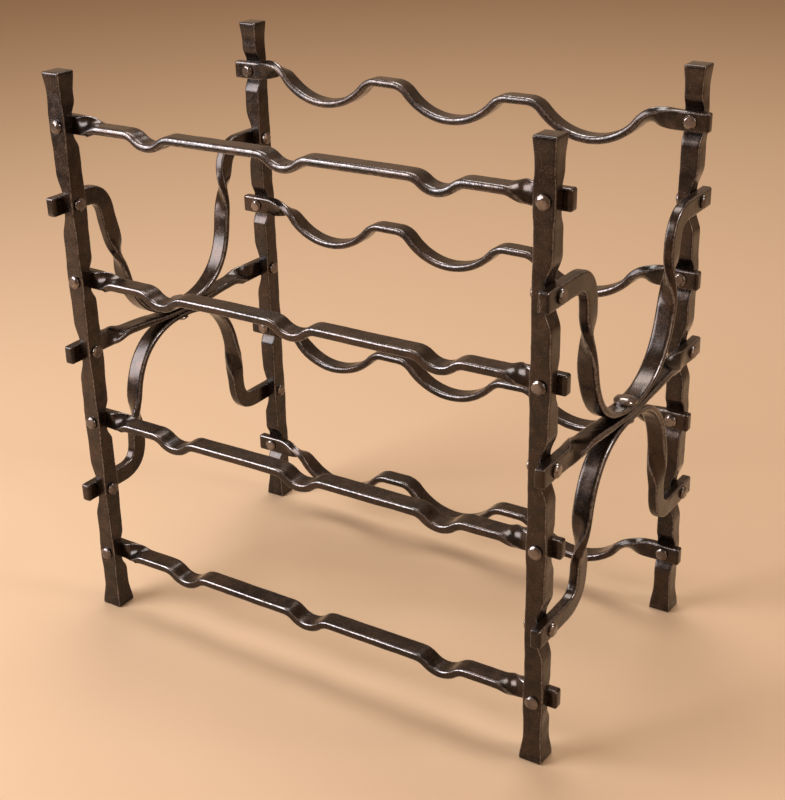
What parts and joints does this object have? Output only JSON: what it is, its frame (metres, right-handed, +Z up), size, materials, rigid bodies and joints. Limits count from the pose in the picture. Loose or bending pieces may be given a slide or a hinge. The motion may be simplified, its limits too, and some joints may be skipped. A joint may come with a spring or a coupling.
{
  "type": "wine rack",
  "caption": "Open hand-forged steel wine rack: square posts, wavy rails that cradle bottle necks and bodies, and twisted U-shaped side bows held by rivets.",
  "frame": {"origin": "on the floor at the centre of the four feet's footprint", "axes": "+Z up, -Y towards the front where the bottle necks lie, +X to the right seen from the front"},
  "size_m": [0.3806, 0.235, 0.4],
  "materials": {
    "forged_steel": "dark brown-black waxed forge scale with rubbed bright edges",
    "rivet_steel": "dark waxed steel, hammered and slightly burnished"
  },
  "bodies": {
    "root": {"post_front_left": "forged_steel", "post_rear_left": "forged_steel", "left_upper_bow": "forged_steel", "left_cross_bar": "forged_steel", "left_lower_bow": "forged_steel", "centre_rivet_left": "rivet_steel", "rivet_left_lower_front": "rivet_steel", "rivet_left_lower_rear": "rivet_steel", "rivet_left_middle_front": "rivet_steel", "rivet_left_middle_rear": "rivet_steel", "rivet_left_upper_front": "rivet_steel", "rivet_left_upper_rear": "rivet_steel", "post_front_right": "forged_steel", "post_rear_right": "forged_steel", "right_upper_bow": "forged_steel", "right_cross_bar": "forged_steel", "right_lower_bow": "forged_steel", "centre_rivet_right": "rivet_steel", "rivet_right_lower_front": "rivet_steel", "rivet_right_lower_rear": "rivet_steel", "rivet_right_middle_front": "rivet_steel", "rivet_right_middle_rear": "rivet_steel", "rivet_right_upper_front": "rivet_steel", "rivet_right_upper_rear": "rivet_steel", "neck_rail_1": "forged_steel", "rivet_neck_rail_1_left": "rivet_steel", "rivet_neck_rail_1_right": "rivet_steel", "neck_rail_2": "forged_steel", "rivet_neck_rail_2_left": "rivet_steel", "rivet_neck_rail_2_right": "rivet_steel", "neck_rail_3": "forged_steel", "rivet_neck_rail_3_left": "rivet_steel", "rivet_neck_rail_3_right": "rivet_steel", "neck_rail_4": "forged_steel", "rivet_neck_rail_4_left": "rivet_steel", "rivet_neck_rail_4_right": "rivet_steel", "body_rail_1": "forged_steel", "rivet_body_rail_1_left": "rivet_steel", "rivet_body_rail_1_right": "rivet_steel", "body_rail_2": "forged_steel", "rivet_body_rail_2_left": "rivet_steel", "rivet_body_rail_2_right": "rivet_steel", "body_rail_3": "forged_steel", "rivet_body_rail_3_left": "rivet_steel", "rivet_body_rail_3_right": "rivet_steel", "body_rail_4": "forged_steel", "rivet_body_rail_4_left": "rivet_steel", "rivet_body_rail_4_right": "rivet_steel"}
  },
  "joints": []
}
